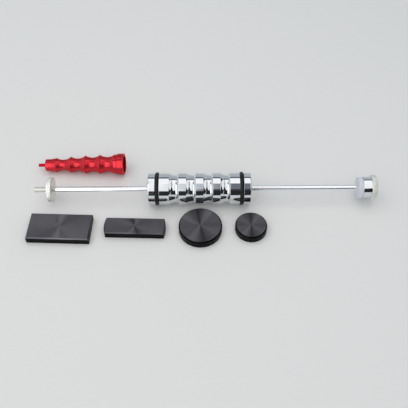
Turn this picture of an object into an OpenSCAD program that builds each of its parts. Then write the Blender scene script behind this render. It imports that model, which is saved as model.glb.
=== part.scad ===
// Slide hammer puller: a grooved weight that slides on a rod between a front lock nut
// and a cushioned rear stop, with its screw-on grip and four glue pull tabs lying beside it.
// The hammer lies along X with its pulling end at -X. Everything stands on the plane z = 0.

/* [Rod] */
// Diameter of the plain rod
rod_d = 8; // [7.5:0.5:12]
// Pitch of the threads on both ends of the rod
thread_pitch = 1.25; // [0.75:0.25:1.75]
// How far the crests of those threads lie below the plain rod
thread_drop = 0.05; // [0.02:0.01:0.15]
// Length of the pulling stud that stands out in front of the lock nut
stud_len = 20; // [12:1:30]
// Length of plain rod between the front lock nut and the rear cushion
stroke_rod = 429.5; // [300:0.5:600]
// Length of thread left showing behind the front lock nut
thread_tail = 3.5; // [1:0.5:8]
// Chamfer on the tip of the pulling stud
stud_edge = 0.9; // [0.3:0.1:1.5]
// Chamfer on the rod's rear end
tail_edge = 0.4; // [0.2:0.1:0.6]
// Room past the grip's stud in the tapped hole that takes it, in the rod's rear end
tail_hole_room = 2.5; // [1:0.5:8]

/* [Lock nuts] */
// Diameter over the knurled rim of both lock nuts
nut_d = 34.8; // [24:0.2:42]
// Thickness of both lock nuts
nut_t = 6.5; // [4:0.5:12]
// Chamfer on the rims of the lock nuts
nut_edge = 0.6; // [0.2:0.1:1.5]

/* [Weight] */
// Diameter of the sliding weight
weight_d = 45; // [38:0.5:55]
// Length of the sliding weight
weight_len = 144; // [138:1:200]
// Gap between the front lock nut and the weight where the hammer is laid down
weight_park = 134.5; // [5:0.5:280]
// Land at each end of the weight, outside its rubber ring
end_land = 10; // [7:0.5:14]
// Land between each rubber ring and the nearest finger groove
grip_land = 14; // [8:0.5:18]
// Width of one finger groove in the weight
finger_w = 13.2; // [11:0.1:15]
// Depth of one finger groove in the weight
finger_depth = 3; // [2:0.1:4]
// Where a finger groove is deepest, as a share of its width
finger_deep_share = 0.68; // [0.6:0.01:0.75]
// Number of finger grooves in the weight
finger_count = 4; // [3:1:4]
// Chamfer on the weight's two ends
weight_edge = 1.2; // [0.4:0.1:2]
// Room round the rod in the drilling through the middle of the weight
weight_hole_room = 0.5; // [0.2:0.1:2]

/* [Rubber rings] */
// Thickness of the rubber rings let into the weight
ring_section = 5.3; // [3.5:0.1:6]
// Height that a rubber ring stands proud of the weight
ring_proud = 1; // [0.5:0.1:1.5]
// Room on each side of a rubber ring in its groove
ring_room = 0.15; // [0.1:0.05:0.4]

/* [Bushes] */
// Wall of the two bushes in the weight
bush_wall = 3; // [2:0.5:5]
// Length of one bush
bush_len = 18; // [10:1:30]
// Chamfer on the bushes
bush_edge = 0.5; // [0.2:0.1:0.8]
// Room between a bush and the end of its counterbore
bush_room = 0.2; // [0.1:0.05:0.5]

/* [Rear stop] */
// Diameter of the nylon cushion
cushion_d = 30.6; // [20:0.2:40]
// Thickness of the nylon cushion
cushion_t = 6; // [3:0.5:12]
// Rounding chamfer on the cushion's rim
cushion_edge = 0.8; // [0.2:0.1:1.5]
// Diameter of the stop collar
collar_d = 31; // [22:0.5:40]
// Length of the stop collar
collar_len = 12.3; // [8:0.1:25]
// Chamfer on the stop collar
collar_edge = 0.7; // [0.2:0.1:1.5]

/* [Grip] */
// Diameter of the grip at its nose, next to the rod
grip_nose_d = 17.6; // [15:0.2:22]
// Diameter of the step in front of the flared collar, as on the grip's last ridge
grip_step_d = 28.4; // [27:0.2:30]
// Diameter of the flared collar at the grip's free end
grip_flare_d = 31; // [30:0.5:40]
// Length of the short segment behind the nose
grip_nose_len = 15.8; // [12:0.2:20]
// Length of one finger groove of the grip
grip_finger_len = 21.7; // [19:0.1:25]
// Depth of one finger groove of the grip
grip_finger_depth = 3.3; // [2:0.1:3.6]
// Width of the narrow land left on each ridge between the finger grooves
grip_ridge_w = 0.5; // [0.2:0.1:1]
// Depth of the shallow sweep in the nose segment
grip_nose_sweep = 0.5; // [0.2:0.1:1]
// Length of the step in front of the flared collar
grip_step_len = 4.4; // [2:0.2:8]
// Length of the flared collar
grip_flare_len = 9.8; // [6:0.2:16]
// Chamfer on the grip's edges
grip_edge = 0.6; // [0.2:0.1:1]
// Diameter of the hollow in the grip's free end
grip_hollow_d = 25; // [18:0.5:26]
// Depth of that hollow
grip_hollow_depth = 12; // [6:1:13]
// Diameter of the stud on the grip's nose
grip_stud_d = 5; // [4:0.1:6]
// Pitch of the thread on that stud
grip_thread_pitch = 0.8; // [0.5:0.1:1]
// Length of the stud on the grip's nose
grip_stud_len = 11.5; // [8:0.5:20]
// Chamfer on the tip of that stud
grip_stud_edge = 0.5; // [0.2:0.1:0.8]

/* [Pull tabs] */
// Thickness of all pull tabs
tab_t = 11; // [9:0.5:16]
// Chamfer round the glue face of the pull tabs
tab_edge = 1.6; // [0.5:0.1:2.5]
// Length of the rectangular tab
rect_len = 86; // [60:1:100]
// Width of the rectangular tab
rect_w = 43; // [30:1:46]
// Diameter of the disc that the narrow tab is cut from
narrow_d = 85; // [60:1:100]
// Width of the narrow tab
narrow_w = 27; // [20:1:40]
// Diameter of the large round tab
large_d = 60; // [45:1:66]
// Diameter of the small round tab
small_d = 44; // [30:1:60]
// Metal left between the threaded hole under each tab and its glue face
tab_skin = 2.5; // [1.5:0.5:4]
// Width of the countersink at the mouth of a threaded hole
countersink = 0.9; // [0.3:0.1:1]

/* [Layout] */
// Middle of the rectangular tab behind the stud's tip
rect_x = 40; // [30:1:50]
// Gap between one tab and the next
tab_gap = 18; // [4:1:40]
// Room between the widest tab and the path of the weight's rubber rings, seen from above
tab_room = 0.9; // [0.5:0.1:30]
// Turn of the rectangular tab about its own middle
rect_turn = -2.4; // [-5:0.1:5]
// Turn of the narrow tab about its own middle
narrow_turn = -2; // [-5:0.1:5]
// Nose of the grip behind the stud's tip
grip_x = 5.6; // [0:0.2:30]
// Room between the grip's flare and the path of the weight's rubber rings, seen from above
grip_room = 15.2; // [1:0.2:40]
// Turn of the grip seen from above
grip_turn = -1.7; // [-3:0.1:3]

/* [Fits] */
// Gap on the radius between parts that turn or slide on each other
running_gap = 0.05; // [0.02:0.01:0.1]
// Gap on the radius between parts that are clamped and don't run
loose_gap = 0.1; // [0.05:0.01:0.2]

/* [Hidden] */
$fn = 96;
over = 1;

// Threads: the outside of the stud, the pitch radius where it runs in a nut, and the
// tapping diameter of the holes that take each stud
thread_depth_share = 0.54;
thread_r = rod_d / 2 - thread_drop;
pitch_r = thread_r - thread_pitch * thread_depth_share / 2;
nut_bore_r = pitch_r + running_gap;
tab_hole_d = rod_d - thread_pitch;
tail_hole_d = grip_stud_d - grip_thread_pitch;
tail_hole_depth = grip_stud_len + tail_hole_room;
tab_hole_depth = tab_t - tab_skin;

// Places along the rod, counted from the stud's tip
front_nut_x = stud_len;
rod_start_x = front_nut_x + nut_t;
weight_x = rod_start_x + weight_park;
cushion_x = rod_start_x + stroke_rod;
collar_x = cushion_x + cushion_t;
rear_nut_x = collar_x + collar_len;
shaft_len = rear_nut_x + nut_t;

// Weight
ring_r = weight_d / 2 + ring_proud - ring_section / 2;
ring_groove_w = ring_section + 2 * ring_room;
ring_floor_r = ring_r - ring_section / 2 - ring_room;
ring_front_x = end_land + ring_groove_w / 2;
ring_rear_x = weight_len - ring_front_x;
first_finger_x = end_land + ring_groove_w + grip_land;
finger_span = weight_len - 2 * first_finger_x;
finger_pitch = (finger_span - finger_w) / (finger_count - 1);
bush_r = rod_d / 2 + running_gap + bush_wall;
bush_seat = bush_len + 2 * bush_room;
axis_h = ring_r + ring_section / 2;

// A finger groove of the weight is a long ramp that runs into an arc
function arc_back(depth, run) = (run * run + depth * depth) / (2 * depth);
finger_run = finger_w * (1 - finger_deep_share);
finger_arc_r = arc_back(finger_depth, finger_run);
finger_arc_rise = finger_arc_r - finger_depth;
ramp_run = finger_w - finger_run;
ramp_reach = norm([ramp_run, finger_arc_rise]);
ramp_angle = asin(finger_arc_r / ramp_reach) - atan2(finger_arc_rise, ramp_run);
ramp_len = sqrt(ramp_reach * ramp_reach - finger_arc_r * finger_arc_r);

// Grip: radii and places of its ridges, from the nose to the step in front of the flare
ridge_rise_share = [0, 0.28, 0.57, 0.83, 0.97, 1];
function ridge_r(i) = (grip_nose_d + (grip_step_d - grip_nose_d) * ridge_rise_share[i]) / 2;
function ridge_x(i) = i == 0 ? 0 : grip_nose_len + (i - 1) * grip_finger_len;
last_ridge = len(ridge_rise_share) - 1;
flare_x = ridge_x(last_ridge) + grip_step_len;
grip_len = flare_x + grip_flare_len;
flare_r = grip_flare_d / 2;
flare_touch_x = flare_x + grip_edge;
// The grip lies on its flare and on one ridge
grip_slope = min([for (i = [0:last_ridge]) (flare_r - ridge_r(i)) / (flare_touch_x - ridge_x(i))]);
grip_tilt = atan(grip_slope);
grip_axis_h = flare_r * cos(grip_tilt) - flare_touch_x * sin(grip_tilt);

// Tabs and grip stand clear of the weight wherever it slides
narrow_x = rect_x + rect_len / 2 + tab_gap + narrow_d / 2;
large_x = narrow_x + narrow_d / 2 + tab_gap + large_d / 2;
small_x = large_x + large_d / 2 + tab_gap + small_d / 2;
tab_row = axis_h + tab_room + max(rect_w, narrow_w, large_d, small_d) / 2;
grip_sway = cos(grip_tilt) * sin(grip_turn);
grip_y = axis_h + grip_room + flare_r - min(0, flare_touch_x * grip_sway);

// The bounds of the whole layout, so that it stands centred on the origin
function turned_half(a, b, turn) = (a * cos(turn) + b * abs(sin(turn))) / 2;
rect_left = rect_x - turned_half(rect_len, rect_w, rect_turn);
grip_tip_r = grip_stud_d / 2 - grip_stud_edge;
grip_left = grip_x - grip_stud_len * cos(grip_tilt) * cos(grip_turn)
    - grip_tip_r * sqrt(1 - pow(cos(grip_tilt) * cos(grip_turn), 2));
layout_left = min(0, rect_left, grip_left);
rect_front = tab_row + turned_half(rect_w, rect_len, rect_turn);
layout_front = max(rect_front, tab_row + large_d / 2, tab_row + small_d / 2);
grip_far_x = grip_turn > 0 ? grip_len - grip_edge : flare_touch_x;
layout_back = grip_y + grip_far_x * grip_sway + flare_r * sqrt(1 - grip_sway * grip_sway);
origin_x = (layout_left + shaft_len) / 2;
axis_y = (layout_front - layout_back) / 2;

chrome = [0.80, 0.82, 0.84];
zinc = [0.84, 0.84, 0.82];
bronze = [0.72, 0.52, 0.28];
rubber = [0.06, 0.06, 0.06];
nylon = [0.86, 0.86, 0.88];
red_anodised = [0.76, 0.07, 0.13];
black_anodised = [0.16, 0.16, 0.17];

// Turns a shape that is built up Z so that it runs along the rod from x
module along_rod(x) {
    translate([x - origin_x, axis_y, axis_h]) rotate([0, 90, 0]) children();
}

// A turned ring with a bore and chamfered rims
module turned_ring(outer_r, inner_r, length, edge) {
    rotate_extrude() polygon([
        [inner_r, 0], [outer_r - edge, 0], [outer_r, edge],
        [outer_r, length - edge], [outer_r - edge, length], [inner_r, length]
    ]);
}

// A tapped hole that opens at z = 0 and runs up Z
module tapped_hole(hole_d, depth) {
    translate([0, 0, -over]) cylinder(d = hole_d, h = depth + over);
    cylinder(r1 = hole_d / 2 + countersink, r2 = hole_d / 2, h = countersink);
}

// The rod. Where a nut or the stop collar is screwed on, it is drawn at its pitch radius,
// so that thread and nut don't share space.
module shaft() {
    rod_r = rod_d / 2;
    nut_from = front_nut_x - running_gap;
    nut_to = rod_start_x + running_gap;
    thread_end = rod_start_x + thread_tail;
    color(chrome) along_rod(0) difference() {
        rotate_extrude() polygon([
            [0, 0], [thread_r - stud_edge, 0], [thread_r, stud_edge],
            [thread_r, nut_from], [pitch_r, nut_from], [pitch_r, nut_to], [thread_r, nut_to],
            [thread_r, thread_end], [rod_r, thread_end], [rod_r, collar_x], [pitch_r, collar_x],
            [pitch_r, shaft_len - tail_edge], [pitch_r - tail_edge, shaft_len], [0, shaft_len]
        ]);
        translate([0, 0, shaft_len]) mirror([0, 0, 1]) tapped_hole(tail_hole_d, tail_hole_depth);
    }
}

module lock_nut(x) {
    color(zinc) along_rod(x) turned_ring(nut_d / 2, nut_bore_r, nut_t, nut_edge);
}

module front_lock_nut() { lock_nut(front_nut_x); }
module rear_lock_nut() { lock_nut(rear_nut_x); }

// Outline of one finger groove, from z = 0 up, cut out of a surface at radius r
module finger_cut(r) {
    arc_at = [r + finger_arc_rise, ramp_run];
    ramp_end = [r - ramp_len * sin(ramp_angle), ramp_len * cos(ramp_angle)];
    translate(arc_at) circle(r = finger_arc_r);
    polygon([[r, 0], ramp_end, arc_at, [r + finger_arc_rise, 0]]);
}

module weight_body() {
    r = weight_d / 2;
    hole_r = rod_d / 2 + weight_hole_room;
    seat_r = bush_r + running_gap;
    color(chrome) along_rod(weight_x) rotate_extrude() difference() {
        polygon([
            [seat_r, 0], [r - weight_edge, 0], [r, weight_edge],
            [r, weight_len - weight_edge], [r - weight_edge, weight_len], [seat_r, weight_len],
            [seat_r, weight_len - bush_seat], [hole_r, weight_len - bush_seat],
            [hole_r, bush_seat], [seat_r, bush_seat]
        ]);
        for (x = [ring_front_x, ring_rear_x])
            translate([ring_floor_r, x - ring_groove_w / 2]) square([weight_d, ring_groove_w]);
        for (i = [0:finger_count - 1])
            translate([0, first_finger_x + i * finger_pitch]) finger_cut(r);
    }
}

module weight_ring(x) {
    color(rubber) along_rod(weight_x + x)
        rotate_extrude() translate([ring_r, 0]) circle(d = ring_section);
}

module weight_ring_front() { weight_ring(ring_front_x); }
module weight_ring_rear() { weight_ring(ring_rear_x); }

module weight_bush(x) {
    color(bronze) along_rod(weight_x + x)
        turned_ring(bush_r, rod_d / 2 + running_gap, bush_len, bush_edge);
}

module weight_bush_front() { weight_bush(bush_room); }
module weight_bush_rear() { weight_bush(weight_len - bush_room - bush_len); }

module rear_cushion() {
    color(nylon) along_rod(cushion_x)
        turned_ring(cushion_d / 2, rod_d / 2 + loose_gap, cushion_t, cushion_edge);
}

module rear_stop_collar() {
    color(chrome) along_rod(collar_x)
        turned_ring(collar_d / 2, nut_bore_r, collar_len, collar_edge);
}

// Circle that sweeps a hollow of the given depth between two ridges and leaves their lands
module ridge_sweep(x0, r0, x1, r1, depth) {
    chord = norm([x1 - x0, r1 - r0]);
    sweep_r = arc_back(depth, (chord - grip_ridge_w) / 2);
    lift = (sweep_r - depth) / chord;
    translate([(r0 + r1) / 2 + (x1 - x0) * lift, (x0 + x1) / 2 - (r1 - r0) * lift])
        circle(r = sweep_r);
}

module hand_grip() {
    stud_r = grip_stud_d / 2;
    step_r = ridge_r(last_ridge);
    color(red_anodised)
        translate([grip_x - origin_x, axis_y + grip_y, grip_axis_h])
        rotate([0, 0, grip_turn]) rotate([0, 90 - grip_tilt, 0]) rotate_extrude()
        difference() {
            polygon(concat(
                [[0, -grip_stud_len], [stud_r - grip_stud_edge, -grip_stud_len],
                    [stud_r, grip_stud_edge - grip_stud_len], [stud_r, 0]],
                [for (i = [0:last_ridge]) [ridge_r(i), ridge_x(i)]],
                [[step_r, flare_x], [flare_r - grip_edge, flare_x], [flare_r, flare_touch_x],
                    [flare_r, grip_len - grip_edge], [flare_r - grip_edge, grip_len], [0, grip_len]]
            ));
            for (i = [0:last_ridge - 1])
                ridge_sweep(ridge_x(i), ridge_r(i), ridge_x(i + 1), ridge_r(i + 1),
                    i == 0 ? grip_nose_sweep : grip_finger_depth);
            translate([0, grip_len - grip_hollow_depth])
                square([grip_hollow_d / 2, grip_hollow_depth + over]);
        }
}

// Sets a tab down at its place in front of the rod, turned about its middle
module laid_tab(x, turn) {
    color(black_anodised) translate([x - origin_x, axis_y - tab_row, 0]) rotate([0, 0, turn])
        difference() {
            children();
            tapped_hole(tab_hole_d, tab_hole_depth);
        }
}

// A disc whose upper edge is chamfered
module tab_disc(d) {
    r = d / 2;
    rotate_extrude() polygon([[0, 0], [r, 0], [r, tab_t - tab_edge], [r - tab_edge, tab_t], [0, tab_t]]);
}

// A bar of the given width whose two long upper edges are chamfered, long enough for any tab
module tab_bar(w, length) {
    h = w / 2;
    rotate([90, 0, 90]) translate([0, 0, -length / 2]) linear_extrude(length)
        polygon([[-h, 0], [h, 0], [h, tab_t - tab_edge], [h - tab_edge, tab_t],
            [tab_edge - h, tab_t], [-h, tab_t - tab_edge]]);
}

module tab_rectangular() {
    laid_tab(rect_x, rect_turn) intersection() {
        tab_bar(rect_w, rect_len);
        rotate([0, 0, 90]) tab_bar(rect_len, rect_w);
    }
}

module tab_narrow() {
    laid_tab(narrow_x, narrow_turn) intersection() {
        tab_bar(narrow_w, narrow_d);
        tab_disc(narrow_d);
    }
}

module tab_round_large() { laid_tab(large_x, 0) tab_disc(large_d); }
module tab_round_small() { laid_tab(small_x, 0) tab_disc(small_d); }

shaft();
front_lock_nut();
weight_body();
weight_ring_front();
weight_ring_rear();
weight_bush_front();
weight_bush_rear();
rear_cushion();
rear_stop_collar();
rear_lock_nut();
hand_grip();
tab_rectangular();
tab_narrow();
tab_round_large();
tab_round_small();
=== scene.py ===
import math

import bmesh
import bpy
from mathutils import Matrix, Vector


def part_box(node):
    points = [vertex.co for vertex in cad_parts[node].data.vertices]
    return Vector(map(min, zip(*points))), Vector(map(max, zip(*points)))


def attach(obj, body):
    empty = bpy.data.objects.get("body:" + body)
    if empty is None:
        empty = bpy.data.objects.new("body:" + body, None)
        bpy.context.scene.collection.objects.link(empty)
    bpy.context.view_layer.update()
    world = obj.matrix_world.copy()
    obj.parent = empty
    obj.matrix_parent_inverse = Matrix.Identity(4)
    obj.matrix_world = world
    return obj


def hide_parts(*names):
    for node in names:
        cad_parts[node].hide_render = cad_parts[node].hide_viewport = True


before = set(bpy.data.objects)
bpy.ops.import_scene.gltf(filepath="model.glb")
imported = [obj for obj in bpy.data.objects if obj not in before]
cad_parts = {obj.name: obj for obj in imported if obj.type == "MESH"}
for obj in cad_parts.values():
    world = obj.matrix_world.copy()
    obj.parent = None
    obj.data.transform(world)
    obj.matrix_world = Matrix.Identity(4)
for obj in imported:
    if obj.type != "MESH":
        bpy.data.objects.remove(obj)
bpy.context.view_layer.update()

# A slide hammer puller laid out flat, with its loose red grip and its four pull tabs.
# Sizes in the dictionaries are in millimetres, counted along each piece from its end at -X.
scene = bpy.context.scene
scene.view_settings.view_transform = "Standard"
fullTurn = 2 * math.pi
weldReach = 0.000002              # points closer than this, in metres, are one point
sharpAngle = math.radians(28)     # edges that turn more than this stay crisp
noFade = 0.001                    # a thread that starts at its full depth, in millimetres
print("frame loaded:", len(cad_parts), "nodes")


def metres(millimetres):
    return millimetres / 1000.0


# The camera stands where the photograph was taken from

viewpoint = {
    "place": (-0.683, -528.644, 681.151),
    "turn": (37.7038, 0.1026, -0.4094),    # degrees about X, Y and Z
    "lens": 52.941,
    "sensor": 36.0,
    "clip": (0.01, 200.0),                 # metres
}


def placeCamera():
    data = bpy.data.cameras.new("camera")
    data.lens = viewpoint["lens"]
    data.sensor_width = viewpoint["sensor"]
    data.clip_start, data.clip_end = viewpoint["clip"]
    camera = bpy.data.objects.new("camera", data)
    scene.collection.objects.link(camera)
    camera.location = [metres(v) for v in viewpoint["place"]]
    camera.rotation_euler = [math.radians(v) for v in viewpoint["turn"]]
    scene.camera = camera


placeCamera()
print("camera placed")


# Node trees

def paint(hexText):      # "#rrggbb" as seen on a screen, turned into the linear values that shaders use
    channels = [int(hexText[i:i + 2], 16) / 255.0 for i in (1, 3, 5)]
    linear = [c / 12.92 if c <= 0.04045 else ((c + 0.055) / 1.055) ** 2.4 for c in channels]
    return (*linear, 1.0)


def addNode(tree, kind, settings=(), inputs=(), output=0):
    # Adds one node with its settings, fills or links its inputs, and gives back one of its outputs.
    # Inputs are a list in their order, or a dictionary by name.
    node = tree.nodes.new(kind)
    for name, value in dict(settings).items():
        setattr(node, name, value)
    for key, value in inputs.items() if isinstance(inputs, dict) else enumerate(inputs):
        if isinstance(value, bpy.types.NodeSocket):
            tree.links.new(value, node.inputs[key])
        else:
            node.inputs[key].default_value = value
    return node.outputs[output] if len(node.outputs) else node


# The sums that the trees do, each as a kind of node with its setting
add, subtract, multiply, divide, multiplyAdd, remainder, roundDown, roundUp, bounce, root, least = [
    ("ShaderNodeMath", {"operation": name}) for name in
    ("ADD", "SUBTRACT", "MULTIPLY", "DIVIDE", "MULTIPLY_ADD", "MODULO", "FLOOR", "CEIL", "PINGPONG",
     "SQRT", "MINIMUM")]


socketKinds = {int: "Int", float: "Float", type(None): "Material"}      # by an input's first value


def startTree(name, sizes):
    tree = bpy.data.node_groups.new(name, "GeometryNodeTree")
    tree.interface.new_socket("Geometry", in_out="INPUT", socket_type="NodeSocketGeometry")
    for label, value in sizes.items():
        kind = "NodeSocket" + socketKinds[type(value)]
        socket = tree.interface.new_socket(label, in_out="INPUT", socket_type=kind)
        if value is not None:
            socket.default_value = value
    tree.interface.new_socket("Geometry", in_out="OUTPUT", socket_type="NodeSocketGeometry")
    return tree, tree.nodes.new("NodeGroupInput").outputs, tree.nodes.new("NodeGroupOutput")


def latheTree(name, sizes, rowShape):
    # Wraps a grid round the X axis. rowShape says how many rows it has, and how far along and how
    # far out each point of a row lies. The sizes here are first values, in metres.
    tree, given, end = startTree(name, dict(sizes, Segments=96, Material=None))
    index = addNode(tree, "GeometryNodeInputIndex")
    columns = addNode(tree, *add, [given["Segments"], 1.0])
    share = addNode(tree, *divide, [index, columns])
    row = addNode(tree, *roundDown, [share])
    column = addNode(tree, *remainder, [index, columns])
    turn = addNode(tree, *divide, [column, given["Segments"]])
    angle = addNode(tree, *multiply, [turn, fullTurn])
    rows, along, out = rowShape(tree, given, row, turn)
    sine, cosine = [addNode(tree, "ShaderNodeMath", {"operation": name}, [angle])
                    for name in ("SINE", "COSINE")]
    sideways = addNode(tree, *multiply, [out, sine])
    upwards = addNode(tree, *multiply, [out, cosine])
    place = addNode(tree, "ShaderNodeCombineXYZ", {}, {"X": along, "Y": sideways, "Z": upwards})
    grid = addNode(tree, "GeometryNodeMeshGrid", {}, {"Vertices X": rows, "Vertices Y": columns})
    wrapped = addNode(tree, "GeometryNodeSetPosition", {}, {"Geometry": grid, "Position": place})
    welded = addNode(tree, "GeometryNodeMergeByDistance", {}, {"Geometry": wrapped, "Distance": weldReach})
    real = addNode(tree, "GeometryNodeRealizeInstances", {}, {"Geometry": welded})
    coated = addNode(tree, "GeometryNodeSetMaterial", {}, {"Geometry": real, "Material": given["Material"]})
    tree.links.new(coated, end.inputs[0])
    return tree


def outlineRows(tree, given, row, turn):
    # Rows follow the points of an outline, which can come again at a pitch. Where the outline
    # says bite, teeth are cut into it all the way round.
    start = given["Geometry"]
    points = addNode(tree, "GeometryNodeAttributeDomainSize", {}, {"Geometry": start})
    rows = addNode(tree, *multiply, [points, given["Copies"]])
    copyShare = addNode(tree, *divide, [row, points])
    copy = addNode(tree, *roundDown, [copyShare])
    number = addNode(tree, *remainder, [row, points])
    here = addNode(tree, "GeometryNodeInputPosition")
    point = addNode(tree, "GeometryNodeSampleIndex", {"data_type": "FLOAT_VECTOR"},
                    {"Geometry": start, "Value": here, "Index": number})
    bitten = addNode(tree, "GeometryNodeInputNamedAttribute", {"data_type": "FLOAT"}, {"Name": "bite"})
    bite = addNode(tree, "GeometryNodeSampleIndex", {"data_type": "FLOAT"},
                   {"Geometry": start, "Value": bitten, "Index": number})
    first = addNode(tree, "ShaderNodeSeparateXYZ", {}, [point])
    shift = addNode(tree, *multiply, [copy, given["Pitch"]])
    along = addNode(tree, *add, [first, shift])
    toothTurn = addNode(tree, *multiply, [turn, given["Teeth"]])
    flank = addNode(tree, *bounce, [toothTurn, 0.5])
    cut = addNode(tree, *multiply, [flank, given["Tooth depth"]])
    twice = addNode(tree, *multiply, [cut, 2.0])
    drop = addNode(tree, *multiply, [twice, bite])
    out = addNode(tree, *subtract, [first.node.outputs["Z"], drop])
    return rows, along, out


def threadRows(tree, given, row, turn):
    # A right-hand thread with flat crests and roots. It fades in and out at its ends, and its
    # first turn is cut back by a chamfer.
    turns = addNode(tree, *divide, [given["Length"], given["Pitch"]])
    fine = addNode(tree, *multiply, [turns, given["Rows per turn"]])
    steps = addNode(tree, *roundUp, [fine])
    rows = addNode(tree, *add, [steps, 1.0])
    share = addNode(tree, *divide, [row, steps])
    along = addNode(tree, *multiply, [share, given["Length"]])
    pitches = addNode(tree, *divide, [along, given["Pitch"]])
    phase = addNode(tree, *add, [pitches, turn])
    flank = addNode(tree, *bounce, [phase, 0.5])
    rootEnd, crestStart = 0.125, 0.4375      # where the flank lies, in pitches from the root's middle
    valley = addNode(tree, "ShaderNodeMapRange", {}, {
        "Value": flank, "From Min": rootEnd, "From Max": crestStart, "To Min": 1.0, "To Max": 0.0})
    left = addNode(tree, *subtract, [given["Length"], along])
    fadeIn, fadeOut = [
        addNode(tree, "ShaderNodeMath", {"operation": "DIVIDE", "use_clamp": True}, [run, given[size]])
        for run, size in ((along, "Run-in"), (left, "Run-out"))]
    fade = addNode(tree, *multiply, [fadeIn, fadeOut])
    deep = addNode(tree, *multiply, [valley, given["Depth"]])
    drop = addNode(tree, *multiply, [deep, fade])
    cut = addNode(tree, *subtract, [given["Crest radius"], drop])
    chamfer = addNode(tree, *add, [given["Tip radius"], along])
    out = addNode(tree, *least, [cut, chamfer])
    return rows, along, out


def ridgeRows(tree, given, row, turn):
    # Rows follow a line of ridges and sink between them in round sweeps, each as deep as its
    # ridge says. A narrow land is left on every ridge.
    start = given["Geometry"]
    points = addNode(tree, "GeometryNodeAttributeDomainSize", {}, {"Geometry": start})
    spans = addNode(tree, *subtract, [points, 1.0])
    body = addNode(tree, *multiply, [spans, given["Steps"]])
    rows = addNode(tree, *add, [body, 1.0])
    spanShare = addNode(tree, *divide, [row, given["Steps"]])
    span = addNode(tree, *roundDown, [spanShare])
    number = addNode(tree, *remainder, [row, given["Steps"]])
    following = addNode(tree, *add, [span, 1.0])
    here = addNode(tree, "GeometryNodeInputPosition")
    ridge, nextRidge = [
        addNode(tree, "GeometryNodeSampleIndex", {"data_type": "FLOAT_VECTOR", "clamp": True},
                {"Geometry": start, "Value": here, "Index": which}) for which in (span, following)]
    sagHere = addNode(tree, "GeometryNodeInputNamedAttribute", {"data_type": "FLOAT"}, {"Name": "sag"})
    sag = addNode(tree, "GeometryNodeSampleIndex", {"data_type": "FLOAT"},
                  {"Geometry": start, "Value": sagHere, "Index": span})
    chord = addNode(tree, "ShaderNodeVectorMath", {"operation": "SUBTRACT"}, [nextRidge, ridge])
    length = addNode(tree, "ShaderNodeVectorMath", {"operation": "LENGTH"}, [chord], "Value")
    heading = addNode(tree, "ShaderNodeVectorMath", {"operation": "NORMALIZE"}, [chord])
    opening = addNode(tree, *subtract, [length, given["Land"]])
    halfLand = addNode(tree, *multiply, [given["Land"], 0.5])
    lastStep = addNode(tree, *subtract, [given["Steps"], 2.0])
    afterLand = addNode(tree, *subtract, [number, 1.0])
    share = addNode(tree, *divide, [afterLand, lastStep])
    swept = addNode(tree, *multiplyAdd, [share, opening, halfLand])
    onRidge = addNode(tree, *least, [number, 1.0])
    reach = addNode(tree, *multiply, [swept, onRidge])
    # The sweep's radius from its chord and its depth, then how far it lies below the chord here
    halfOpen = addNode(tree, *multiply, [opening, 0.5])
    chordSquare = addNode(tree, *multiply, [halfOpen, halfOpen])
    both = addNode(tree, *multiplyAdd, [sag, sag, chordSquare])
    doubleSag = addNode(tree, *multiply, [sag, 2.0])
    radius = addNode(tree, *divide, [both, doubleSag])
    halfLength = addNode(tree, *multiply, [length, 0.5])
    off = addNode(tree, *subtract, [reach, halfLength])
    offSquare = addNode(tree, *multiply, [off, off])
    square = addNode(tree, *multiply, [radius, radius])
    rest = addNode(tree, *subtract, [square, offSquare])
    fromCentre = addNode(tree, *root, [rest])
    centre = addNode(tree, *subtract, [radius, sag])
    below = addNode(tree, *subtract, [fromCentre, centre])
    drop = addNode(tree, "ShaderNodeMath", {"operation": "MAXIMUM"}, [below, 0.0])
    at = addNode(tree, "ShaderNodeSeparateXYZ", {}, [ridge]).node.outputs
    way = addNode(tree, "ShaderNodeSeparateXYZ", {}, [heading]).node.outputs
    straight = addNode(tree, *multiplyAdd, [way["X"], reach, at["X"]])
    along = addNode(tree, *multiplyAdd, [way["Z"], drop, straight])
    level = addNode(tree, *multiplyAdd, [way["Z"], reach, at["Z"]])
    sunk = addNode(tree, *multiply, [way["X"], drop])
    out = addNode(tree, *subtract, [level, sunk])
    return rows, along, out


turnedTree = latheTree("turned", {"Copies": 1, "Pitch": 0.0, "Teeth": 0, "Tooth depth": 0.0}, outlineRows)
threadTree = latheTree("thread", {
    "Length": 0.02, "Pitch": 0.00125, "Crest radius": 0.004, "Depth": 0.0007, "Rows per turn": 10,
    "Tip radius": 1.0, "Run-in": 0.0005, "Run-out": 0.0005}, threadRows)
ridgeTree = latheTree("ridges", {"Steps": 20, "Land": 0.0005}, ridgeRows)
print("node trees made: turned, thread, ridges")


# Building pieces from tubes

def roundedOutline(corners, steps=5):
    # Corners are (along, out, rounding) or (along, out, rounding, bite), in millimetres. A guard
    # point on each side of a rounding keeps the flats beside it flat to the eye.
    guardMost, guardLeast = 0.04, 0.005
    rounded = []
    for i, (along, out, rounding, *bite) in enumerate(corners):
        here = Vector((along, out))
        if rounding == 0:
            rounded.append((*here, *bite))
            continue
        before = Vector(corners[i - 1][:2]) - here
        after = Vector(corners[i + 1][:2]) - here
        half = before.angle(after) / 2
        reach = rounding / math.tan(half)
        guard = min(guardMost, (min(before.length, after.length) - reach) / 2)
        before.normalize()
        after.normalize()
        centre = here + (before + after).normalized() * rounding / math.sin(half)
        first, last = here + before * reach - centre, here + after * reach - centre
        arc = [centre + first.slerp(last, k / steps) * rounding for k in range(steps + 1)]
        if guard > guardLeast:
            arc = [arc[0] + before * guard, *arc, arc[-1] + after * guard]
        rounded.extend((*point, *bite) for point in arc)
    return rounded


def mirrored(corners, length):
    # The same corners at the other end of a piece of that length
    return [(length - c[0], *c[1:]) for c in reversed(corners)]


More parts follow.
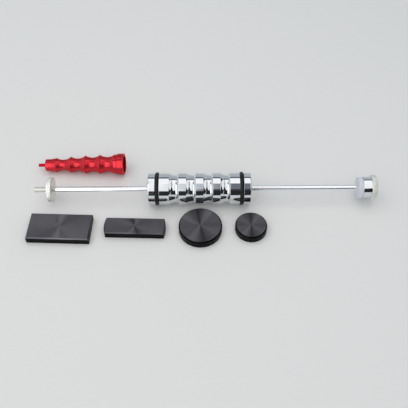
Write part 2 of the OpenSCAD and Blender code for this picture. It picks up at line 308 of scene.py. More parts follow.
def pointMesh(points, extra=None):
    # Points are (along, out) in millimetres, with the value that extra names as a third number
    mesh = bpy.data.meshes.new("points")
    mesh.from_pydata([(metres(p[0]), 0.0, metres(p[1])) for p in points], [], [])
    if extra:
        attribute = mesh.attributes.new(extra, "FLOAT", "POINT")
        for value, p in zip(attribute.data, points):
            value.value = p[2]
    return mesh


def growTube(tree, start, sizes, place):
    # Runs a tree on a start mesh and keeps the result as a plain mesh, set at its place. Among the
    # sizes, whole numbers are counts, and the others are in millimetres.
    holder = bpy.data.objects.new("holder", start)
    scene.collection.objects.link(holder)
    modifier = holder.modifiers.new("shape", "NODES")
    modifier.node_group = tree
    for item in tree.interface.items_tree:
        if item.in_out == "INPUT" and item.name in sizes:
            size = sizes[item.name]
            modifier[item.identifier] = metres(size) if isinstance(size, float) else size
    depsgraph = bpy.context.evaluated_depsgraph_get()
    mesh = bpy.data.meshes.new_from_object(holder.evaluated_get(depsgraph), depsgraph=depsgraph)
    bpy.data.objects.remove(holder)
    bpy.data.meshes.remove(start)
    mesh.transform(place)
    return mesh


def growTurned(outline, sizes, place, extra=None):
    return growTube(turnedTree, pointMesh(outline, extra), sizes, place)


def growThread(thread, turned, place):
    return growTube(threadTree, pointMesh([(0, 0)]), dict(turned, **thread), place)


def shifted(place, along):
    return place @ Matrix.Translation((metres(along), 0, 0))


def weldPiece(name, tubes, body, slot, *nodes):
    # Joins tubes whose end rings meet into one closed piece, and hands it to its body
    shape = bmesh.new()
    finishes = []
    for tube in tubes:
        known = len(shape.faces)
        shape.from_mesh(tube)
        shape.faces.ensure_lookup_table()
        for face in shape.faces[known:]:
            finish = tube.materials[face.material_index]
            if finish not in finishes:
                finishes.append(finish)
            face.material_index = finishes.index(finish)
        bpy.data.meshes.remove(tube)
    bmesh.ops.remove_doubles(shape, verts=shape.verts, dist=weldReach)
    bmesh.ops.dissolve_degenerate(shape, dist=weldReach / 10, edges=shape.edges)
    bmesh.ops.recalc_face_normals(shape, faces=shape.faces)
    loose = sum(1 for edge in shape.edges if not edge.is_manifold)
    mesh = bpy.data.meshes.new(name)
    shape.to_mesh(mesh)
    shape.free()
    for finish in finishes:
        mesh.materials.append(finish)
    mesh.shade_smooth()
    mesh.set_sharp_from_angle(angle=sharpAngle)
    piece = bpy.data.objects.new(name, mesh)
    scene.collection.objects.link(piece)
    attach(piece, body)
    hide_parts(*nodes)
    print("made", name, "with", len(mesh.polygons), "faces and", loose, "open edges")
    return piece


def boxOf(node):
    # The place of a turned node's front end, its length and its radius, both in millimetres
    low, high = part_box(node)
    middle = (low + high) / 2
    place = Matrix.Translation((low.x, middle.y, middle.z))
    return place, (high.x - low.x) * 1000, (high.z - low.z) / 2 * 1000


# Materials, each named for what it is made of and how it was finished

def startMaterial(name, values):
    material = bpy.data.materials.new(name)
    material.use_nodes = True
    tree = material.node_tree
    tree.nodes.clear()
    shader = addNode(tree, "ShaderNodeBsdfPrincipled", {}, values)
    addNode(tree, "ShaderNodeOutputMaterial", {}, {"Surface": shader})
    place = addNode(tree, "ShaderNodeTexCoord", {}, {}, "Object")
    return material, tree, shader.node, place


def setTones(ramp, tones):
    # Fills a colour ramp with (place, colour) pairs
    while len(ramp.elements) > 1:
        ramp.elements.remove(ramp.elements[-1])
    ramp.elements[0].position = tones[0][0]
    ramp.elements[0].color = paint(tones[0][1])
    for position, colour in tones[1:]:
        ramp.elements.new(position).color = paint(colour)


def toolMarks(tree, shader, place, finish):
    # Rings left by turning or grinding: uneven ridges that only change along the first axis. Real
    # ones lie about 0.1 mm apart. They are drawn as coarse as they need to be to show.
    along = addNode(tree, "ShaderNodeSeparateXYZ", {}, [place])
    lines = addNode(tree, *divide, [along, metres(finish["lines"])])
    marks = addNode(tree, "ShaderNodeTexNoise", {"noise_dimensions": "1D"},
                    {"W": lines, "Scale": 1.0, "Detail": 2.0, "Roughness": 0.6})
    bump = addNode(tree, "ShaderNodeBump", {},
                   {"Height": marks, "Strength": 1.0, "Distance": metres(finish["depth"])})
    tree.links.new(bump, shader.inputs["Normal"])


def fineGrain(tree, shader, place, finish):
    # The fine relief that a mould, a plating bath or a cutter leaves all over, coarser than it really
    # is, so that it shows
    grain = addNode(tree, "ShaderNodeTexNoise", {}, {"Vector": place, "Scale": 1 / metres(finish["grain"])})
    bump = addNode(tree, "ShaderNodeBump", {},
                   {"Height": grain, "Strength": finish["relief"], "Distance": metres(finish["depth"])})
    tree.links.new(bump, shader.inputs["Normal"])


def unevenRoughness(tree, shader, place, finish):
    # Handling and plating make the gloss wander a little from patch to patch
    cloud = addNode(tree, "ShaderNodeTexNoise", {},
                    {"Vector": place, "Scale": 1 / metres(finish["patch"]), "Detail": 3.0})
    low, high = finish["roughness"]
    rough = addNode(tree, "ShaderNodeMapRange", {},
                    {"Value": cloud, "From Min": 0.3, "From Max": 0.7, "To Min": low, "To Max": high})
    tree.links.new(rough, shader.inputs["Roughness"])
    return cloud


def twoTones(tree, shader, share, first, second):
    # The colour goes from the first to the second as share goes from 0 to 1
    tone = addNode(tree, "ShaderNodeMix", {"data_type": "RGBA"},
                   {"Factor": share, 6: paint(first), 7: paint(second)}, 2)
    tree.links.new(tone, shader.inputs["Base Color"])


# Chrome plate over turned steel, polished: a cool mirror with faint rings from the lathe
chromeFinish = {"colour": "#e2e5e8", "roughness": (0.035, 0.09), "patch": 14.0, "lines": 0.9, "depth": 0.0012}
# Hard chrome ground round the rod: bright and a little softer
rodFinish = {"colour": "#f4f7fa", "roughness": (0.2, 0.26), "patch": 20.0, "lines": 0.35, "depth": 0.0006}
# Zinc plate, clear passivated: satin and nearly white, with a faint warm bloom in places
zincFinish = {"colour": "#f0f2ef", "bloom": "#e8e6df", "roughness": (0.44, 0.52), "patch": 5.0,
              "grain": 0.25, "relief": 0.3, "depth": 0.005}
# Nitrile rubber from a mould: black with a soft grey shine and a dusty bloom
rubberFinish = {"colour": "#080809", "bloom": "#111112", "roughness": (0.4, 0.52), "patch": 2.0,
                "grain": 0.2, "relief": 0.3, "depth": 0.005}
# Natural nylon turned from bar: milky, faintly lavender, with light scattering inside
nylonFinish = {"colour": "#e6e6ee", "bloom": "#d9d9e3", "roughness": (0.38, 0.5), "patch": 4.0,
               "lines": 0.5, "depth": 0.004}
# Black anodised aluminium on sawn and milled sides: dull, dark and finely grained
wallFinish = {"colour": "#111112", "roughness": (0.42, 0.52), "patch": 12.0,
              "grain": 0.3, "relief": 0.4, "depth": 0.01}


def finished(name, values, finish, surface):
    # A finish with the relief that surface gives it. A bloom makes its colour wander with its gloss.
    values = dict(values, **{"Base Color": paint(finish["colour"])})
    material, tree, shader, place = startMaterial(name, values)
    cloud = unevenRoughness(tree, shader, place, finish)
    if "bloom" in finish:
        twoTones(tree, shader, cloud, finish["colour"], finish["bloom"])
    surface(tree, shader, place, finish)
    return material


bronzeFinish = {"colour": "#9a7440", "pore": "#3c2b18", "roughness": (0.4, 0.55), "patch": 3.0,
                "pores": 0.25, "relief": 0.6, "depth": 0.03}


def sinteredBronze():
    # Sintered bronze soaked in oil: dull brown gold, speckled with dark pores
    material, tree, shader, place = startMaterial("bronzeSintered", {"Metallic": 1.0})
    unevenRoughness(tree, shader, place, bronzeFinish)
    pores = addNode(tree, "ShaderNodeTexVoronoi", {},
                    {"Vector": place, "Scale": 1 / metres(bronzeFinish["pores"])})
    shown = addNode(tree, "ShaderNodeMapRange", {}, {"Value": pores, "From Min": 0.15, "From Max": 0.35})
    twoTones(tree, shader, shown, bronzeFinish["pore"], bronzeFinish["colour"])
    bump = addNode(tree, "ShaderNodeBump", {}, {
        "Height": shown, "Strength": bronzeFinish["relief"], "Distance": metres(bronzeFinish["depth"])})
    tree.links.new(bump, shader.inputs["Normal"])
    return material


redFinish = {"colour": "#da1a2e", "deep": "#c41327", "slanted": "#ff6070", "roughness": (0.26, 0.31),
             "patch": 9.0, "lines": 0.4, "depth": 0.0015}


def redAnodised(turnedBack):
    # Red anodised aluminium, satin: deep dye under a clear oxide layer that adds a pale shine. Seen
    # at a slant, the way through the dye is longer, so the edges stay red. turnedBack brings the
    # grip's own axis to X, so that its tool marks run round it.
    material, tree, shader, place = startMaterial("aluminiumAnodisedRed", {
        "Metallic": 1.0, "Specular Tint": paint(redFinish["slanted"]), "Coat Weight": 0.5,
        "Coat Roughness": 0.28, "Coat IOR": 1.6})
    cloud = unevenRoughness(tree, shader, place, redFinish)
    twoTones(tree, shader, cloud, redFinish["colour"], redFinish["deep"])
    own = addNode(tree, "ShaderNodeMapping", {}, {"Vector": place, "Rotation": turnedBack})
    toolMarks(tree, shader, own, redFinish)
    return material


facedFinish = {
    "roughness": (0.34, 0.4), "patch": 12.0, "lines": 0.6, "depth": 0.0012,
    # Painted sheen: how dark a faced tab's top is painted round half a turn, from one dark wedge to the next,
    # standing in for the sheen that the facing rings fan out
    "strongPaintedSheen": ((0.0, "#3a393d"), (0.06, "#4b4a4e"), (0.27, "#67666b"), (0.5, "#5b5a5e"), (0.73, "#67666b"),
               (0.94, "#4b4a4e"), (1.0, "#3a393d")),
    "faintPaintedSheen": ((0.0, "#5c5b60"), (0.08, "#626166"), (0.27, "#68676c"), (0.73, "#68676c"), (0.92, "#626166"),
              (1.0, "#5c5b60")),
}


def blackFaced(name, sheenWedges):
    # The same black oxide, faced on a lathe: fine rings fan the light out along the radius, and grey wedges
    # of painted sheen, set by the angle round the tab, are painted into its colour
    material, tree, shader, place = startMaterial(name, {"Metallic": 1.0, "Anisotropic": 1.0})
    unevenRoughness(tree, shader, place, facedFinish)
    radial = addNode(tree, "ShaderNodeTangent", {"direction_type": "UV_MAP", "uv_map": "facing"})
    tree.links.new(radial, shader.inputs["Tangent"])
    # The painted sheen: a tone by the angle round the tab, which comes twice in a turn
    polar = addNode(tree, "ShaderNodeUVMap", {"uv_map": "facing"})
    angle = addNode(tree, "ShaderNodeSeparateXYZ", {}, [polar], "Y")
    halfTurns = addNode(tree, *multiply, [angle, 2.0])
    sheenWedge = addNode(tree, "ShaderNodeMath", {"operation": "FRACT"}, [halfTurns])
    tone = addNode(tree, "ShaderNodeValToRGB", {}, {"Fac": sheenWedge})
    setTones(tone.node.color_ramp, facedFinish[sheenWedges])
    tree.links.new(tone, shader.inputs["Base Color"])
    toolMarks(tree, shader, polar, facedFinish)
    return material


metal = {"Metallic": 1.0}
chrome = finished("chromePlatePolished", metal, chromeFinish, toolMarks)
hardChrome = finished("hardChromeGround", metal, rodFinish, toolMarks)
zinc = finished("zincPlatePassivated", metal, zincFinish, fineGrain)
nitrile = finished("nitrileRubberMoulded", {"Specular IOR Level": 0.35}, rubberFinish, fineGrain)
nylon = finished("nylonTurned", {
    "IOR": 1.53, "Subsurface Weight": 0.25, "Subsurface Radius": (0.004, 0.004, 0.005),
    "Subsurface Scale": 0.4}, nylonFinish, toolMarks)
bronze = sinteredBronze()
# Two faced materials, one with strong and one with faint painted sheen
facedBlack = {sheenWedges: blackFaced(name, sheenWedges) for sheenWedges, name in (
    ("strongPaintedSheen", "aluminiumAnodisedBlackFacedPaintedSheen"), ("faintPaintedSheen", "aluminiumAnodisedBlackFacedFaintPaintedSheen"))}
milledBlack = finished("aluminiumAnodisedBlackMilled", metal, wallFinish, fineGrain)
print("materials made")


# The rod, with its pulling stud in front and a tapped hole for the grip in its rear end

rod = {
    "radius": 4.0, "segments": 72, "pitchRadius": 3.6125, "tipRadius": 3.05,
    "thread": {"Pitch": 1.25, "Crest radius": 3.95, "Depth": 0.68, "Run-in": 0.5, "Run-out": 0.5},
    "nutFront": 19.95, "nutBack": 26.55, "threadEnd": 30.0, "step": 0.05,
    "collar": 462.0, "tailChamfer": 0.4, "tailRound": 0.1, "faceRound": 0.08, "mouthRound": 0.04,
    "socket": {"Pitch": 0.8, "Crest radius": 2.1, "Depth": -0.4, "Rows per turn": 8},
    "socketDepth": 14.0, "countersink": 0.9,
}


def makeRod():
    place, length, _ = boxOf("shaft")
    radius, core, thread, socket = rod["radius"], rod["pitchRadius"], rod["thread"], rod["socket"]
    crest, hole = thread["Crest radius"], socket["Crest radius"]
    nutFront, nutBack, threadEnd = rod["nutFront"], rod["nutBack"], rod["threadEnd"]
    mouth = length - rod["countersink"]
    blind = length - rod["socketDepth"]
    zinced = {"Segments": rod["segments"], "Material": zinc}
    chromed = dict(zinced, Material=hardChrome)
    tip = [(0, 0), (0, rod["tipRadius"])]
    underNut = [(nutFront, crest), (nutFront, core), (nutBack, core), (nutBack, crest)]
    plain = roundedOutline([
        (threadEnd, crest, 0), (threadEnd + rod["step"], radius, 0),
        (rod["collar"], radius, 0), (rod["collar"], core, 0),
        (length - rod["tailChamfer"], core, rod["tailRound"]),
        (length, core - rod["tailChamfer"], rod["faceRound"]),
        (length, hole + rod["countersink"], rod["mouthRound"]), (mouth, hole, 0)], steps=3)
    drillEnd = [(blind, hole), (blind - hole / 2, 0)]
    tubes = [
        growTurned(tip, zinced, place),
        growThread(dict(thread, **{"Length": nutFront, "Tip radius": rod["tipRadius"], "Run-in": noFade}),
                   zinced, place),
        growTurned(underNut, zinced, place),
        growThread(dict(thread, Length=threadEnd - nutBack), zinced, shifted(place, nutBack)),
        growTurned(plain, chromed, place),
        growThread(dict(socket, Length=mouth - blind), chromed, shifted(place, blind)),
        growTurned(drillEnd, chromed, place),
    ]
    weldPiece("rod", tubes, "shaft", "rod_hard_chrome", "shaft")


makeRod()


# The two knurled lock nuts

nut = {
    "bore": 3.6625, "boreChamfer": 0.5, "boreRound": 0.05, "edge": 0.6, "edgeRound": 0.08,
    "teeth": 168, "toothDepth": 0.13, "stepsPerTooth": 4,
    "waist": 0.35, "waistDepth": 0.42,       # the plain groove round the middle of the rim
}


def makeNut(name, node, body):
    place, thick, radius = boxOf(node)
    middle = thick / 2
    valley = radius - nut["toothDepth"]
    front = [
        (middle, nut["bore"], 0, 0), (nut["boreChamfer"], nut["bore"], 0, 0),
        (0, nut["bore"] + nut["boreChamfer"], nut["boreRound"], 0),
        (0, radius - nut["edge"], nut["edgeRound"], 0),
        (nut["edge"] - nut["toothDepth"], valley, 0, 0), (nut["edge"], radius, 0, 1),
        (middle - nut["waist"], radius, 0, 1), (middle - nut["waist"] / 2, radius - nut["waistDepth"], 0, 0)]
    outline = roundedOutline(front + mirrored(front, thick), steps=3)
    tube = growTurned(outline, {
        "Segments": nut["teeth"] * nut["stepsPerTooth"], "Teeth": nut["teeth"],
        "Tooth depth": nut["toothDepth"], "Material": zinc}, place, "bite")
    weldPiece(name, [tube], body, "nut_zinc", node)


makeNut("lockNutFront", "front_lock_nut", "front_nut")
makeNut("lockNutRear", "rear_lock_nut", "rear_nut")


# The sliding weight and its rubber rings

weight = {
    "segments": 192, "edge": 1.4, "seatRadius": 7.1, "seatDepth": 18.4, "seatChamfer": 0.4, "seatRound": 0.08,
    "holeRadius": 4.5, "endLand": 10.0, "ringGroove": 5.6, "ringFloor": 18.05, "grooveEdge": 0.3,
    "ringSegments": 160, "ringSteps": 28,
    "fingerStart": 29.6, "fingerPitch": 23.8667, "fingerCount": 4, "fingerWidth": 13.2,
    "rampRadius": 26.0, "rampSteep": 29.0, "rampGentle": 9.0, "rampEdge": 1.6, "rampSteps": 12,
    "arcSteps": 16, "wallEdge": 0.35,
    "landKept": 0.7,                         # the strip of land that each finger groove carries at its sides
}


def fingerOutline(radius):
    # A finger groove: a long hollow ramp from the front, then a tight arc up to a steep wall
    steep, gentle = math.radians(weight["rampSteep"]), math.radians(weight["rampGentle"])
    hollow, width = weight["rampRadius"], weight["fingerWidth"]
    rampSteps, arcSteps = weight["rampSteps"], weight["arcSteps"]
    corners = [(-weight["landKept"], radius, 0), (0, radius, weight["rampEdge"])]
    for k in range(1, rampSteps + 1):
        slope = steep + (gentle - steep) * k / rampSteps
        along = hollow * (math.sin(steep) - math.sin(slope))
        out = radius - hollow * (math.cos(slope) - math.cos(steep))
        corners.append((along, out, 0))
    climb = math.atan2(radius - out, width - along)
    arc = math.hypot(radius - out, width - along) / (2 * math.sin(gentle + climb))
    for k in range(1, arcSteps):
        slope = gentle - 2 * (gentle + climb) * k / arcSteps
        corners.append((along + arc * (math.sin(gentle) - math.sin(slope)),
                        out - arc * (math.cos(slope) - math.cos(gentle)), 0))
    corners += [(width, radius, weight["wallEdge"]), (width + weight["landKept"], radius, 0)]
    return roundedOutline(corners, steps=6)


def makeWeight():
    place, length, radius = boxOf("weight_body")
    grooveEnd = weight["endLand"] + weight["ringGroove"]
    groove, edge = weight["ringFloor"], weight["grooveEdge"]
    seat, chamfer, seatEnd = weight["seatRadius"], weight["seatChamfer"], weight["seatDepth"]
    front = [
        (chamfer, seat, 0), (0, seat + chamfer, weight["seatRound"]), (0, radius, weight["edge"]),
        (weight["endLand"], radius, edge), (weight["endLand"], groove, edge),
        (grooveEnd, groove, edge), (grooveEnd, radius, edge),
        (weight["fingerStart"] - weight["landKept"], radius, 0)]
    inside = [
        (chamfer, seat), (seatEnd, seat), (seatEnd, weight["holeRadius"]),
        (length - seatEnd, weight["holeRadius"]), (length - seatEnd, seat), (length - chamfer, seat)]
    turned = {"Segments": weight["segments"], "Material": chrome}
    fingers = dict(turned, Copies=weight["fingerCount"], Pitch=weight["fingerPitch"])
    tubes = [
        growTurned(roundedOutline(front, steps=7), turned, place),
        growTurned(fingerOutline(radius), fingers, shifted(place, weight["fingerStart"])),
        growTurned(roundedOutline(mirrored(front, length), steps=7), turned, place),
        growTurned(inside, turned, place),
    ]
    weldPiece("weightBody", tubes, "weight", "weight_chrome", "weight_body")


def makeRing(name, node):
    place, thick, radius = boxOf(node)
    section = thick / 2
    steps = weight["ringSteps"]
    loop = [(section + section * math.sin(fullTurn * k / steps),
             radius - section + section * math.cos(fullTurn * k / steps)) for k in range(steps + 1)]
    tube = growTurned(loop, {"Segments": weight["ringSegments"], "Material": nitrile}, place)
    weldPiece(name, [tube], "weight", "ring_rubber", node)


makeWeight()
makeRing("rubberRingFront", "weight_ring_front")
makeRing("rubberRingRear", "weight_ring_rear")


# Plain turned rings: the weight's two bushes, and the nylon cushion and chromed collar of the rear stop

bush = {"body": "bushes", "slot": "bush_bronze", "finish": bronze, "segments": 96,
        "bore": 4.05, "chamfer": 0.25, "rounding": 0.4}
sleeves = {
    "bushFront": dict(bush, node="weight_bush_front"),
    "bushRear": dict(bush, node="weight_bush_rear"),
    "cushion": {"node": "rear_cushion", "body": "shaft", "slot": "cushion_nylon", "finish": nylon,
                "segments": 144, "bore": 4.1, "chamfer": 0.2, "rounding": 0.9},
    "stopCollar": {"node": "rear_stop_collar", "body": "shaft", "slot": "weight_chrome", "finish": chrome,
                   "segments": 160, "bore": 3.6625, "chamfer": 0.3, "rounding": 0.45},
}


def makeSleeve(name, sleeve):
    place, length, radius = boxOf(sleeve["node"])
    bore, chamfer = sleeve["bore"], sleeve["chamfer"]
    front = [(length / 2, bore, 0), (chamfer, bore, 0), (0, bore + chamfer, 0),
             (0, radius, sleeve["rounding"])]
    outline = roundedOutline(front + mirrored(front, length), steps=6)
    tube = growTurned(outline, {"Segments": sleeve["segments"], "Material": sleeve["finish"]}, place)
    weldPiece(name, [tube], sleeve["body"], sleeve["slot"], sleeve["node"])


for sleeveName, sleeve in sleeves.items():
    makeSleeve(sleeveName, sleeve)


# The red grip, lying on its flare and one ridge

grip = {
    "nose": (-231.804, 64.742, 10.558), "tilt": 2.6238, "swing": -1.7, "segments": 112,
    "stud": {"Length": 11.5, "Pitch": 0.8, "Crest radius": 2.5, "Depth": 0.42, "Tip radius": 2.0,
             "Run-in": noFade, "Run-out": 0.5, "Rows per turn": 8},
    "ridgePlaces": (15.8, 37.5, 59.2, 80.9, 102.6), "ridgeRadii": (10.312, 11.878, 13.282, 14.038, 14.2),
    "noseRadius": 8.8, "noseEdge": 0.6, "noseRim": 0.02, "noseSweep": 0.5, "fingerSweep": 3.3, "land": 0.5,
    "neck": (0.5, 0.15, 0.35),               # the cut in front of the flare: its start, its floor, its depth
    "stepEnd": 107.0, "stepRise": 0.6, "stepEdge": 0.4, "flareRadius": 15.5,
    "lineAt": 6.4, "lineWidth": 0.2, "lineDepth": 0.2, "fineRound": 0.06,
    "length": 116.8, "mouthEdge": 0.7, "hollowRadius": 12.5, "hollowEdge": 0.4, "hollowDepth": 12.0,
    "floorEdge": 0.8, "drillRadius": 1.2, "drillDepth": 0.5, "smallRound": 0.1, "lineRound": 0.05,
}


def makeGrip():
    tilt, swing = math.radians(grip["tilt"]), math.radians(grip["swing"])
    turn = Matrix.Rotation(swing, 4, "Z") @ Matrix.Rotation(-tilt, 4, "Y")
    place = Matrix.Translation([metres(v) for v in grip["nose"]]) @ turn
    red = redAnodised(turn.inverted().to_euler())
    turned = {"Segments": grip["segments"], "Material": red}
    stud = grip["stud"]
    tip = [(-stud["Length"], 0), (-stud["Length"], stud["Tip radius"])]
    nose = roundedOutline([(0, stud["Crest radius"], 0), (0, grip["noseRadius"], grip["noseEdge"]),
                           (grip["noseEdge"] + grip["noseRim"], grip["noseRadius"], 0)])
    last = grip["ridgeRadii"][-1]
    flare, step, length = grip["flareRadius"], grip["stepEnd"], grip["length"]
    neckStart, neckFloor, neckDepth = grip["neck"]
    line, half = step + grip["lineAt"], grip["lineWidth"]
    floor = length - grip["hollowDepth"]
    fine, small = grip["fineRound"], grip["smallRound"]
    rear = roundedOutline([
        (grip["ridgePlaces"][-1], last, 0), (step - neckStart, last, small),
        (step - neckFloor, last - neckDepth, small), (step, last + grip["stepRise"], small),
        (step + grip["stepRise"], flare, grip["stepEdge"]), (line - half, flare, fine),
        (line, flare - grip["lineDepth"], grip["lineRound"]), (line + half, flare, fine),
        (length, flare, grip["mouthEdge"]), (length, grip["hollowRadius"], grip["hollowEdge"]),
        (floor, grip["hollowRadius"], grip["floorEdge"]), (floor, grip["drillRadius"], small),
        (floor - grip["drillDepth"], 0, 0)])
    ridges = [(nose[-1][0], grip["noseRadius"], metres(grip["noseSweep"]))]
    for along, out in zip(grip["ridgePlaces"], grip["ridgeRadii"]):
        ridges.append((along, out, metres(grip["fingerSweep"])))
    tubes = [
        growTurned(tip, turned, place),
        growThread(stud, turned, shifted(place, -stud["Length"])),
        growTurned(nose, turned, place),
        growTube(ridgeTree, pointMesh(ridges, "sag"), dict(turned, Land=grip["land"]), place),
        growTurned(rear, turned, place),
    ]
    weldPiece("handGrip", tubes, "grip", "grip_red_anodised", "hand_grip")


makeGrip()


# The four pull tabs. A tab is cut from a plate, a disc or both, and is faced on its top.

tab = {
    "thick": 11.0, "chamfer": 1.6, "edge": 0.25, "shoulder": 0.3, "points": 240, "innerRings": 14,
    "pip": 0.9, "pipTaper": 0.7, "pipDepth": 0.12,       # the mark that the tool leaves in the middle
    "thread": {"Pitch": 1.25, "Crest radius": 3.375, "Depth": -0.6, "Run-in": 0.6, "Run-out": 0.6,
               "Rows per turn": 6},
    "countersink": 0.9, "skin": 2.5, "drillPoint": 0.8,
    "bevelLoops": 7, "rimLoops": 2,          # loops that the face with its painted sheen takes in, on a plate and on a disc
}
# Each shape says how strong the painted sheen on its face is, and by how many degrees its wedges of painted
# sheen are turned
tabShapes = {
    "tabRectangular": {"node": "tab_rectangular", "length": 86.0, "width": 43.0, "turn": -2.4,
                       "sheenWedges": "faintPaintedSheen", "sheenWedge": 35.0},
    "tabNarrow": {"node": "tab_narrow", "width": 27.0, "disc": 85.0, "turn": -2.0,
                  "sheenWedges": "strongPaintedSheen", "sheenWedge": 112.0},
    "tabRoundLarge": {"node": "tab_round_large", "disc": 60.0, "turn": 0.0,
                      "sheenWedges": "strongPaintedSheen", "sheenWedge": 102.0},
    "tabRoundSmall": {"node": "tab_round_small", "disc": 44.0, "turn": 0.0,
                      "sheenWedges": "strongPaintedSheen", "sheenWedge": 92.0},
}


def cornerAngle(shape, inset):
    # Half the angle that the short ends of a tab take up, seen from its middle
    if "width" not in shape:
        return math.pi / 4       # a disc has no ends, so that any angle does
    halfWidth = shape["width"] / 2 - inset
    if "length" in shape:
        return math.atan2(halfWidth, shape["length"] / 2 - inset)
    return math.asin(halfWidth / (shape["disc"] / 2 - inset))


def tabLoop(shape, inset):
    # One loop of (angle, distance from the middle), whose corners fall on the same points at any inset
    count = tab["points"]
    short = 2 * round(count * cornerAngle(shape, 0) / fullTurn)
    corner = cornerAngle(shape, inset)
    corners = (-corner, corner, math.pi - corner, math.pi + corner, fullTurn - corner)
    nearlyAlong = 0.01       # a side that runs this nearly along the ray doesn't limit it
    loop = []
    for first, last, steps in zip(corners, corners[1:], (short, count // 2 - short) * 2):
        for k in range(steps):
            angle = first + (last - first) * k / steps
            shares = {"disc": 1.0, "length": abs(math.cos(angle)), "width": abs(math.sin(angle))}
            limits = [(shape[side] / 2 - inset) / share for side, share in shares.items()
                      if side in shape and share > nearlyAlong]
            loop.append((angle, min(limits)))
    return loop


def tabPlate(name, shape):
    # The tab without its tapped hole: loops from the hole's mouth up the wall and in over the face
    count, thick, chamfer = tab["points"], tab["thick"], tab["chamfer"]
    lead = 2.0               # a flat that only gives the first and the last rounding their direction
    section = roundedOutline([
        (lead, 0, 0), (0, 0, tab["edge"]), (0, thick - chamfer, tab["shoulder"]),
        (chamfer, thick, tab["edge"]), (chamfer + lead, thick, 0)], steps=3)[1:-1]
    # The ring round the hole keeps the points of the hole's own tube, so that the two weld
    step = fullTurn / count
    firstStep = round(-cornerAngle(shape, 0) / step)
    mouth = tab["thread"]["Crest radius"] + tab["countersink"]
    loops = [[((firstStep + k) * step, mouth, 0.0) for k in range(count)]]
    loops += [[(a, r, height) for a, r in tabLoop(shape, inset)] for inset, height in section]
    # A plate's bevel takes the face's material, so that its painted sheen shows it as bright as its face, and
    # a disc's is as dark as its wall
    wallLoops = len(loops) - (tab["bevelLoops"] if "width" in shape else tab["rimLoops"])
    inner = tabLoop(shape, section[-1][0])
    for k in range(1, tab["innerRings"]):
        share = 1 - k / tab["innerRings"]
        loops.append([(a, r * share, thick) for a, r in inner])
    loops.append([(a, tab["pip"], thick) for a, _ in inner])
    loops.append([(a, tab["pip"] * tab["pipTaper"], thick - tab["pipDepth"]) for a, _ in inner])
    mesh = bmesh.new()
    polar = mesh.loops.layers.uv.new("facing")
    rings = [[(mesh.verts.new([metres(v) for v in (r * math.cos(a), r * math.sin(a), height)]), a, r)
              for a, r, height in loop] for loop in loops]
    centre = mesh.verts.new((0, 0, metres(thick - tab["pipDepth"])))
    # Where the wedges of painted sheen start round the tab
    sheenTurn = math.radians(shape["sheenWedge"])
    for i, ring in enumerate(rings):
        for k in range(count):
            following = (k + 1) % count
            lap = fullTurn if following == 0 else 0.0
            corners = [(*ring[k], 0.0), (*ring[following], lap)]
            if i + 1 < len(rings):
                above = rings[i + 1]
                corners += [(*above[following], lap), (*above[k], 0.0)]
            else:
                corners.append((centre, ring[k][1], 0.0, 0.0))
            face = mesh.faces.new([c[0] for c in corners])
            face.material_index = 0 if i >= wallLoops else 1
            for corner, (_, angle, out, turn) in zip(face.loops, corners):
                corner[polar].uv = (metres(out), (angle + turn - sheenTurn) / fullTurn)
    plate = bpy.data.meshes.new(name)
    mesh.to_mesh(plate)
    mesh.free()
    plate.materials.append(facedBlack[shape["sheenWedges"]])
    plate.materials.append(milledBlack)
    return plate


def makeTab(name, shape):
    low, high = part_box(shape["node"])
    middle = (low + high) / 2
    place = Matrix.Translation((middle.x, middle.y, 0)) @ Matrix.Rotation(math.radians(shape["turn"]), 4, "Z")
    plate = tabPlate(name, shape)
    plate.transform(place)
    # The tapped hole is turned like the other pieces, then stood up
    hole, sink = tab["thread"]["Crest radius"], tab["countersink"]
    depth = tab["thick"] - tab["skin"]
    upright = place @ Matrix.Rotation(-math.pi / 2, 4, "Y")
    turned = {"Segments": tab["points"], "Material": milledBlack}
    tubes = [
        plate,
        growTurned([(0, hole + sink), (sink, hole)], turned, upright),
        growThread(dict(tab["thread"], Length=depth - sink), turned, shifted(upright, sink)),
        growTurned([(depth, hole), (depth + tab["drillPoint"], 0)], turned, upright),
    ]
    weldPiece(name, tubes, shape["node"], "tab_black_anodised", shape["node"])


for tabName, tabShape in tabShapes.items():
    makeTab(tabName, tabShape)


# The studio: a pale floor, a soft box overhead and one in front, and cards that only the metal sees.
# Heights are in degrees from the front horizon over the top, sides in millimetres from the middle,
# and tones run from a card's left edge to its right one.

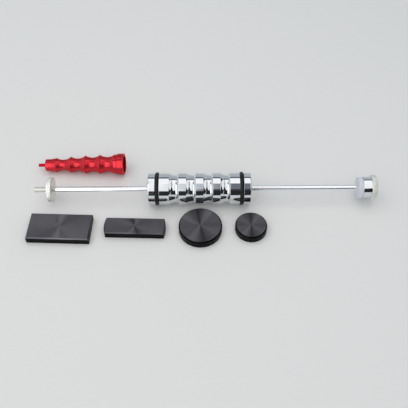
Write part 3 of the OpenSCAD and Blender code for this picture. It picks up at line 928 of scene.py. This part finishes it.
studio = {
    "aim": (0, 7, 23), "floor": "#f0efed", "floorReach": 60000, "floorDrop": 0.2, "world": "#b7bfc5",
    "lamps": {
        "softBoxTop": {"distance": 1600, "heights": (92, 127), "sides": (-1500, 800), "glow": (1.18, 1.16)},
        "softBoxFront": {"distance": 1600, "heights": (34, 92), "sides": (-1500, 800), "glow": (1.0, 1.18)},
    },
    "cards": {
        "cardTop": {"distance": 1560, "heights": (131, 141), "sides": (-1500, 900),
                    "tones": ((0, "#5a5560"),)},
        "cardTopLeft": {"distance": 1560, "heights": (90, 116), "sides": (-1500, -200),
                        "tones": ((0, "#2c2e33"), (0.87, "#3a3d43"), (1, "#ffffff"))},
        "cardRight": {"distance": 1560, "heights": (33, 126), "sides": (790, 1700),
                      "tones": ((0, "#ffffff"),)},
        "cardSpike": {"distance": 1100, "heights": (33, 68), "sides": (480, 1000), "topSides": (710, 730),
                      "tones": ((0, "#26262c"),)},
        "cardLow": {"distance": 1200, "heights": (0.5, 33), "sides": (-190, 900), "tones": ((0, "#2c2a2c"),)},
        "cardGlow": {"distance": 1100, "heights": (8, 84), "sides": (-1000, -190), "glow": 2.1,
                     "tones": ((0, "#a8acb0"), (0.16, "#ffffff"), (0.9, "#ffffff"), (1, "#a8acb0"))},
        "cardLowLeft": {"distance": 1200, "heights": (0.5, 34), "sides": (-1500, -190),
                        "tones": ((0, "#ffffff"), (0.97, "#ffffff"), (1, "#6a6a6c"))},
        "cardSide": {"distance": 1100, "heights": (46, 86), "sides": (-120, 200),
                     "tones": ((0, "#ffffff"), (0.33, "#ced4da"), (0.5, "#a4a4a9"), (0.66, "#74767e"),
                               (0.86, "#74767e"), (1, "#f4f4f4"))},
        "cardUnder": {"distance": 1100, "heights": (33, 46), "sides": (-60, 200),
                      "tones": ((0, "#e8e8e8"), (0.3, "#46454c"), (1, "#34323a"))},
    },
    "ends": {"cardEndRight": {"side": 1400, "reach": 1500, "tones": ((0, "#242226"),)},
             "cardEndLeft": {"side": -1600, "reach": 1500, "tones": ((0, "#e4eaee"),)}},
}


def hang(name, corners, material):
    mesh = bpy.data.meshes.new(name)
    mesh.from_pydata(corners, [], [(0, 1, 2, 3)])
    mesh.materials.append(material)
    hung = bpy.data.objects.new(name, mesh)
    scene.collection.objects.link(hung)
    hung.visible_camera = False
    return hung


def panelCorners(panel):
    # A flat panel across the view, between two heights, which can be narrower at its top
    sides = (*panel["sides"], *reversed(panel.get("topSides", panel["sides"])))
    corners = []
    for height, side in zip((0, 0, 1, 1), sides):
        angle = math.radians(panel["heights"][height])
        away = Vector((side, -panel["distance"] * math.cos(angle), panel["distance"] * math.sin(angle)))
        corners.append([metres(v) for v in Vector(studio["aim"]) + away])
    return corners


def startGlow(name, axis, first, last):
    # A material that glows, with a share that goes from 0 to 1 between two places along an axis
    material = bpy.data.materials.new(name)
    material.use_nodes = True
    tree = material.node_tree
    tree.nodes.clear()
    place = addNode(tree, "ShaderNodeTexCoord", {}, {}, "Object")
    along = addNode(tree, "ShaderNodeSeparateXYZ", {}, [place], axis)
    share = addNode(tree, "ShaderNodeMapRange", {}, {"Value": along, "From Min": first, "From Max": last})
    light = addNode(tree, "ShaderNodeEmission")
    addNode(tree, "ShaderNodeOutputMaterial", {}, {"Surface": light})
    return material, tree, share, light.node.inputs


def makeLamp(name, panel):
    # A soft box whose cloth glows a little less towards one edge
    corners = panelCorners(panel)
    material, tree, glow, light = startGlow(name + "Cloth", "Y", corners[0][1], corners[2][1])
    for end, value in zip(("To Min", "To Max"), panel["glow"]):
        glow.node.inputs[end].default_value = value
    tree.links.new(glow, light["Strength"])
    hang(name, corners, material)


def makeCard(name, corners, tones, glow=1.0):
    # A card that only mirrors see
    material, tree, share, light = startGlow(name + "Paper", "X", corners[0][0], corners[1][0])
    tone = addNode(tree, "ShaderNodeValToRGB", {}, {"Fac": share})
    setTones(tone.node.color_ramp, tones)
    tree.links.new(tone, light["Color"])
    light["Strength"].default_value = glow
    card = hang(name, corners, material)
    card.visible_diffuse = False
    card.visible_shadow = False
    card.visible_transmission = False


def makeStudio():
    for name, panel in studio["lamps"].items():
        makeLamp(name, panel)
    for name, panel in studio["cards"].items():
        makeCard(name, panelCorners(panel), panel["tones"], panel.get("glow", 1.0))
    for name, end in studio["ends"].items():
        side, reach = metres(end["side"]), metres(end["reach"])
        corners = [(side, -reach, 0), (side, reach, 0), (side, reach, reach), (side, -reach, reach)]
        makeCard(name, corners, end["tones"])


def makeRoom():
    # The floor is matt seamless paper, so that no lamp shows in it
    world = bpy.data.worlds.new("room")
    scene.world = world
    world.use_nodes = True
    world.node_tree.nodes["Background"].inputs["Color"].default_value = paint(studio["world"])
    reach, drop = metres(studio["floorReach"]), -metres(studio["floorDrop"])
    corners = [(-reach, -reach, drop), (reach, -reach, drop), (reach, reach, drop), (-reach, reach, drop)]
    paper = startMaterial("floorPaper", {
        "Base Color": paint(studio["floor"]), "Roughness": 0.9, "Specular IOR Level": 0.1})[0]
    hang("floor", corners, paper).visible_camera = True


makeStudio()
makeRoom()
print("studio lit")
